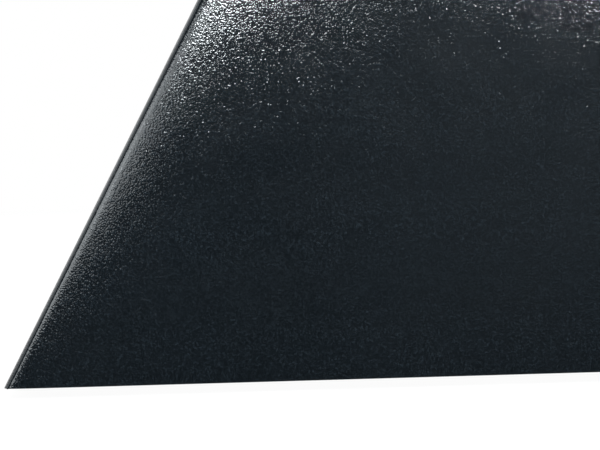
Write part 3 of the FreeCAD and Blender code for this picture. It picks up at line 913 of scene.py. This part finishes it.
M3_SHANK_R = 0.00145
M3_PITCH = 0.0005
M3_RECESS_R = 0.0016
M3_RECESS_DEPTH = 0.0013
M3_HEAD = ((0.0024, 0), (0.0026, -0.00005), (0.0027, -0.00015), (M3_SHANK_R, -0.0013))
spots = solids("dish_screws", ON_BACK)
length = spots[0][1].z - spots[0][0].z
pattern = screw(
    "dish_screw", M3_HEAD, M3_SHANK_R, M3_PITCH, length, M3_RECESS_R, M3_RECESS_DEPTH
)
places = []
for i, (low, high) in enumerate(spots):
    turn = Matrix.Rotation(0.5 + 1.1 * i, 4, "Z")
    places.append(ON_BACK @ upright_at(low, high, high.z) @ turn)
dish_screws = set_out("flange_screws", pattern, places)
dress(dish_screws, steel, "board", ["dish_screws"])

# ---- handle bar ----
# The carry handle: a moulded bar with softened edges and finger ribs round its grip. It swings on
# two steel pins pushed through the dish's walls.

VOXEL = 0.0006
SOFTENING = 6
GRIP_HEIGHT = 0.014
GRIP_HALF = 0.036
GRIP_REACH = 0.9 * GRIP_HEIGHT / 2 + 0.001
GRIP_RIB_PITCH = 0.004
GRIP_RIB_DEPTH = 0.00045
GRIP_FADE = 0.004          # the ribs die out over this at the grip's ends
bar_points = [ON_BACK.inverted() @ v.co for v in frame["nodes"]["handle_bar"].data.vertices]
grip_low = min(v.x for v in bar_points)
grip_x = grip_low + GRIP_HEIGHT / 2
grip_z = (min(v.z for v in bar_points) + max(v.z for v in bar_points)) / 2
bm = bmesh.new()
bm.from_mesh(frame["nodes"]["handle_bar"].data)
bmesh.ops.remove_doubles(bm, verts=bm.verts, dist=ONE_PLACE)
bar = mesh_piece("carry_bar", bm)
remesh = bar.modifiers.new("remesh", "REMESH")
remesh.mode = "VOXEL"
remesh.voxel_size = VOXEL
soften = bar.modifiers.new("soften", "SMOOTH")
soften.iterations = SOFTENING
bpy.context.view_layer.update()
softened = bpy.data.meshes.new_from_object(
    bar.evaluated_get(bpy.context.evaluated_depsgraph_get())
)
bar.modifiers.clear()
bar.data = softened
into_back = ON_BACK.inverted()
for vertex in bar.data.vertices:
    at = into_back @ vertex.co
    if abs(at.y) < GRIP_HALF and at.x < grip_x + GRIP_REACH:
        wave = 0.5 - 0.5 * math.cos(2 * math.pi * at.y / GRIP_RIB_PITCH)
        ends = min(1, (GRIP_HALF - abs(at.y)) / GRIP_FADE)
        inwards = Vector((grip_x - at.x, 0, grip_z - at.z)).normalized()
        vertex.co = ON_BACK @ (at + inwards * GRIP_RIB_DEPTH * wave * ends)
smooth_by_angle(bar, 60)
BAR_BLACK = times(HANDLE_BLACK, 0.9)
bar_grain = grained_plastic("bar_black", BAR_BLACK, pitch=0.0007, depth=0.00002, roughness=0.3)
dress(bar, bar_grain, "handle", ["handle_bar"])

PIN_CHAMFER = 0.0004
PIN_DIMPLE_R = 0.0009
PIN_DIMPLE = 0.0003
for side in ("left", "right"):
    node = "handle_pin_" + side
    low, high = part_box(node)
    radius, length = (high.x - low.x) / 2, high.y - low.y
    body = [(radius - PIN_CHAMFER, 0), (radius, PIN_CHAMFER), (radius, length - PIN_CHAMFER)]
    body += [(radius - PIN_CHAMFER, length)]
    profile = [(0, PIN_DIMPLE), (PIN_DIMPLE_R, 0)] + body
    profile += [(PIN_DIMPLE_R, length), (0, length - PIN_DIMPLE)]
    bm = bmesh.new()
    middle = Vector(((low.x + high.x) / 2, low.y, (low.z + high.z) / 2))
    along_y = Matrix.Translation(middle) @ Matrix.Rotation(-math.pi / 2, 4, "X")
    turned(bm, profile, 40, place=along_y)
    bmesh.ops.recalc_face_normals(bm, faces=bm.faces)
    pin = mesh_piece("hinge_pin_" + side, bm)
    smooth_by_angle(pin, 35)
    dress(pin, steel, "board", [node])

# ---- floor and light ----
# A white floor and a plain white surround. Softboxes stand to the left, to the right, behind and
# overhead, and black cards where the shell's near side would mirror the surround.

FLOOR_SIZE = 4.0
FLOOR_DROP = 0.0002        # below the feet's soles
FLOOR_GLOW_SHARE = 0.93    # where the floor is seen; the rest of it is painted and takes shadow
FLOOR_GLOW = 1.03
SURROUND_LIGHT = 0.25      # the surround's level as a light; it is 1 where it is seen
WHITE = (1, 1, 1, 1)


def new_node(tree, kind, **inputs):
    """A new node of that kind. Its inputs, named or i0, i1 by number, take sockets or values."""
    node = tree.nodes.new("ShaderNode" + kind)
    for key, value in inputs.items():
        socket = node.inputs[int(key[1:]) if key[1:].isdigit() else key.replace("_", " ")]
        if isinstance(value, bpy.types.NodeSocket):
            tree.links.new(value, socket)
        else:
            socket.default_value = value
    return node


def seen(tree):
    """1 for rays from the camera, a shiny face or clear stuff, and 0 for the light's own."""
    rays = tree.nodes.new("ShaderNodeLightPath").outputs
    value = rays["Is Camera Ray"]
    for kind in ("Is Glossy Ray", "Is Transmission Ray"):
        either = new_node(tree, "Math", i0=value, i1=rays[kind])
        either.operation = "MAXIMUM"
        value = either.outputs[0]
    return value


bm = bmesh.new()
bmesh.ops.create_grid(bm, x_segments=1, y_segments=1, size=FLOOR_SIZE / 2)
floor = mesh_piece("floor", bm)
floor.location.z = -FLOOR_DROP
white = bpy.data.materials.new("floor_white")
white.use_nodes = True
tree = white.node_tree
tree.nodes.clear()
share = new_node(tree, "Math", i0=seen(tree), i1=FLOOR_GLOW_SHARE)
share.operation = "MULTIPLY"
paint = new_node(tree, "BsdfDiffuse", Color=WHITE)
glow = new_node(tree, "Emission", Color=WHITE, Strength=FLOOR_GLOW)
top = new_node(tree, "MixShader", i0=share.outputs[0], i1=paint.outputs[0], i2=glow.outputs[0])
clear = new_node(tree, "BsdfTransparent")
underneath = tree.nodes.new("ShaderNodeNewGeometry").outputs["Backfacing"]
both = new_node(tree, "MixShader", i0=underneath, i1=top.outputs[0], i2=clear.outputs[0])
new_node(tree, "OutputMaterial", Surface=both.outputs[0])
floor.data.materials.append(white)

world = bpy.data.worlds.new("surround")
bpy.context.scene.world = world
world.use_nodes = True
tree = world.node_tree
tree.nodes.clear()
level = new_node(tree, "MapRange", Value=seen(tree), To_Min=SURROUND_LIGHT, To_Max=1.0)
air = new_node(tree, "Background", Color=WHITE, Strength=level.outputs["Result"])
new_node(tree, "OutputWorld", Surface=air.outputs[0])

LOOK_AT = Vector((-0.10881, -0.1789, 0.04508))
LAMP_COLOUR = (0.94, 1.0, 1.03)


def softbox(name, azimuth, elevation, distance, size, power):
    """A rectangular lamp that faces the look-at point from that direction."""
    lamp = bpy.data.lights.new(name, "AREA")
    lamp.shape = "RECTANGLE"
    lamp.size, lamp.size_y = size
    lamp.energy = power
    lamp.color = LAMP_COLOUR
    holder = bpy.data.objects.new(name, lamp)
    a, e = math.radians(azimuth), math.radians(elevation)
    out = Vector((math.sin(a) * math.cos(e), -math.cos(a) * math.cos(e), math.sin(e)))
    holder.location = LOOK_AT + distance * out
    holder.rotation_euler = out.to_track_quat("Z", "Y").to_euler()
    bpy.context.scene.collection.objects.link(holder)
    holder.visible_camera = False


softbox("key_softbox", -46, 19, 1.0, (0.6, 0.28), 2.6)
softbox("near_left_softbox", -6, 25, 0.5, (0.12, 0.07), 1.5)
softbox("near_right_softbox", 23, 26, 0.5, (0.06, 0.055), 1.8)
softbox("right_fill_softbox", 18, 6, 0.5, (0.2, 0.2), 0.013)
softbox("low_left_softbox", -26, 14, 0.5, (0.18, 0.13), 0.3)
softbox("rear_softbox", -110, 40, 1.6, (1.5, 1.5), 8)
softbox("far_softbox", 150, 35, 1.8, (1.5, 1.5), 12)
softbox("top_softbox", 0, 85, 1.9, (1.6, 1.6), 24)

CARD_LIFT = 0.002          # flat cards lie this far above the floor
CARD_NEAR_Y = -2.6         # the upright card's place, which the others reach back from
CARD_SHELL_Y = -0.181      # just clear of the shell's near side
CARD_BACK_Y = 1.2
CARD_LEFT_X = -2.5
CARD_BESIDE_X = -0.2       # just clear of the back panel's foot
card_black = bpy.data.materials.new("card_black")
card_black.use_nodes = True
card_shader = card_black.node_tree.nodes["Principled BSDF"]
card_shader.inputs["Base Color"].default_value = (0, 0, 0, 1)
card_shader.inputs["Specular IOR Level"].default_value = 0


def standing(start, end, height):
    """Corners of an upright card over a line on the floor."""
    return [(*start, 0), (*end, 0), (*end, height), (*start, height)]


def lying(near, far):
    """Corners of a flat card between two opposite corners."""
    corners = (near, (far[0], near[1]), far, (near[0], far[1]))
    return [(x, y, CARD_LIFT) for x, y in corners]


def black_card(name, corners):
    """A card that only mirror-like reflections see."""
    bm = bmesh.new()
    bm.faces.new([bm.verts.new(c) for c in corners])
    card = mesh_piece(name, bm)
    for rays in ("camera", "diffuse", "transmission", "shadow", "volume_scatter"):
        setattr(card, "visible_" + rays, False)
    card.data.materials.append(card_black)


black_card("card_upright", standing((-6, CARD_NEAR_Y), (6, CARD_NEAR_Y), 7))
black_card("card_left", standing((CARD_LEFT_X, CARD_NEAR_Y), (CARD_LEFT_X, CARD_BACK_Y), 2.5))
black_card("card_flat", lying((CARD_LEFT_X, CARD_NEAR_Y), (-CARD_LEFT_X, CARD_SHELL_Y)))
black_card("card_left_flat", lying((CARD_LEFT_X, CARD_SHELL_Y), (CARD_BESIDE_X, CARD_BACK_Y)))

# ---- camera ----
# Level with the lower part of the left side panel and square to it, close on its rear corner.

VIEW_WIDTH = 0.162
DISTANCE = 0.5
AZIMUTH = math.radians(-1.605)
ELEVATION = math.radians(2.0)
ROLL = math.radians(1.535)
camera_data = bpy.data.cameras.new("camera")
camera_data.sensor_width = 36
camera_data.lens = camera_data.sensor_width * DISTANCE / VIEW_WIDTH
camera_data.clip_end = 30
camera = bpy.data.objects.new("camera", camera_data)
bpy.context.scene.collection.objects.link(camera)
flat = math.cos(ELEVATION)
back = Vector((math.sin(AZIMUTH) * flat, -math.cos(AZIMUTH) * flat, math.sin(ELEVATION)))
right = Vector((math.cos(ROLL), 0, -math.sin(ROLL)))
right = (right - back * right.dot(back)).normalized()
camera.matrix_world = Matrix.Translation(LOOK_AT + DISTANCE * back) @ Matrix(
    (right, back.cross(right), back)
).transposed().to_4x4()
bpy.context.scene.camera = camera
bpy.context.scene.view_settings.view_transform = "Standard"
